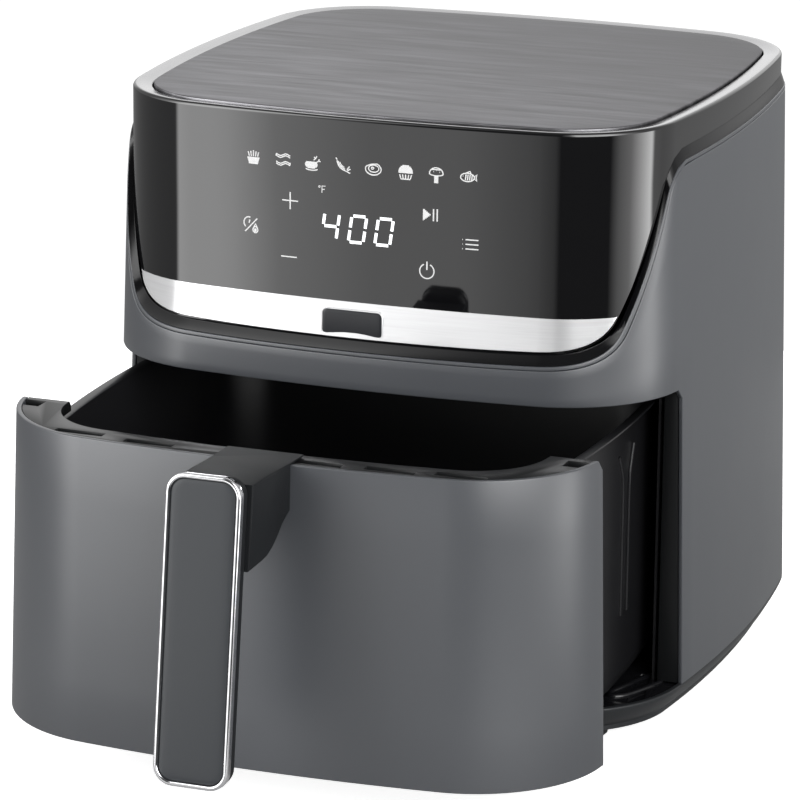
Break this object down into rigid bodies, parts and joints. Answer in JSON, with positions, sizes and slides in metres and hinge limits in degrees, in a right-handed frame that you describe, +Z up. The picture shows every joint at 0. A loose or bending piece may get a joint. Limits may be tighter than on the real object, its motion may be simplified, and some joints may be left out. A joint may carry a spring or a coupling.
{
  "type": "air fryer",
  "caption": "Basket air fryer with a sloped gloss touch panel, bright band, brushed steel lid plate and a handled pan drawer.",
  "frame": {"origin": "middle of the four feet's contact plane on the worktop", "axes": "+Z up, -Y towards the user and the way the drawer opens, +X to the user's right"},
  "size_m": [0.3014, 0.505, 0.2968],
  "materials": {
    "housing_grey": "fine spark-eroded matte, cool mid grey",
    "base_black": "matte moulded, near black",
    "foot_rubber": "matte rubber",
    "deck_black": "semi-gloss moulded, black",
    "nylon_white": "natural nylon",
    "frame_black": "satin moulded, black",
    "liner_steel": "black heat-proof coating on sheet steel",
    "sheet_steel": "aluminised sheet, mill finish",
    "element_steel": "heat-tinted steel tube",
    "fan_metal": "pressed aluminium",
    "motor_steel": "zinc-plated laminations and can",
    "shaft_steel": "ground steel",
    "screw_steel": "zinc-plated steel",
    "gloss_black": "high-gloss piano black",
    "band_steel": "satin-polished bright steel",
    "badge_dark": "dark moulded plate, left blank",
    "lid_steel": "black-tinted stainless, brushed left to right",
    "board_green": "solder-masked laminate",
    "display_dark": "smoked display lens",
    "pad_brass": "spring contacts",
    "ceramic_white": "ceramic-filled moulding",
    "nonstick_black": "black non-stick coating on steel",
    "handle_black": "satin moulded, charcoal",
    "handle_chrome": "polished plated rim",
    "handle_soft": "soft-touch inlay, charcoal",
    "silicone_grey": "food-grade silicone"
  },
  "bodies": {
    "body": {"base_tray": "base_black", "foot_front_left": "foot_rubber", "foot_front_right": "foot_rubber", "foot_rear_left": "foot_rubber", "foot_rear_right": "foot_rubber", "base_deck": "deck_black", "base_screws": "screw_steel", "runner_left": "nylon_white", "runner_right": "nylon_white", "outer_shell": "housing_grey", "window_frame": "frame_black", "liner_wall": "liner_steel", "liner_ceiling": "sheet_steel", "heat_dome": "sheet_steel", "heating_element": "element_steel", "element_clips": "sheet_steel", "air_guard": "sheet_steel", "motor_bracket": "sheet_steel", "fan_motor": "motor_steel", "motor_screws": "screw_steel", "exhaust_duct": "sheet_steel", "exhaust_grille": "frame_black", "thermal_fuse": "ceramic_white", "temperature_probe": "shaft_steel", "head_cover": "gloss_black", "trim_ring": "gloss_black", "control_panel": "gloss_black", "bright_band": "band_steel", "badge_plate": "badge_dark", "top_plate": "lid_steel", "control_board": "board_green", "display_module": "display_dark", "touch_pads": "pad_brass", "board_carrier": "frame_black", "power_board": "board_green", "power_bracket": "sheet_steel", "terminal_block": "ceramic_white", "cord_inlet": "foot_rubber", "drawer_switch": "nylon_white"},
    "drawer": {"drawer_front": "housing_grey", "drawer_inner": "frame_black", "drawer_cap": "frame_black", "pan": "nonstick_black", "pan_bracket": "sheet_steel", "pan_screws": "screw_steel", "handle_arm": "handle_black", "handle_body": "handle_black", "handle_rim": "handle_chrome", "handle_insert": "handle_soft", "handle_screws": "screw_steel"},
    "plate": {"crisper_plate": "nonstick_black", "plate_bumpers": "silicone_grey"},
    "rotor": {"motor_shaft": "shaft_steel", "hot_fan": "fan_metal", "fan_nut": "screw_steel", "cooling_fan": "nylon_white"}
  },
  "joints": [
    {"name": "drawer_slide", "type": "slide", "parent": "body", "child": "drawer", "axis": [0, -1, 0], "range_m": [-0.121, 0.14]},
    {"name": "plate_lift", "type": "slide", "parent": "drawer", "child": "plate", "axis": [0, 0, 1], "range_m": [0, 0.118]},
    {"name": "fan_spin", "type": "hinge", "parent": "body", "child": "rotor", "pos_m": [0, -0.007, 0.2], "axis": [0, 0, 1], "continuous": true}
  ]
}
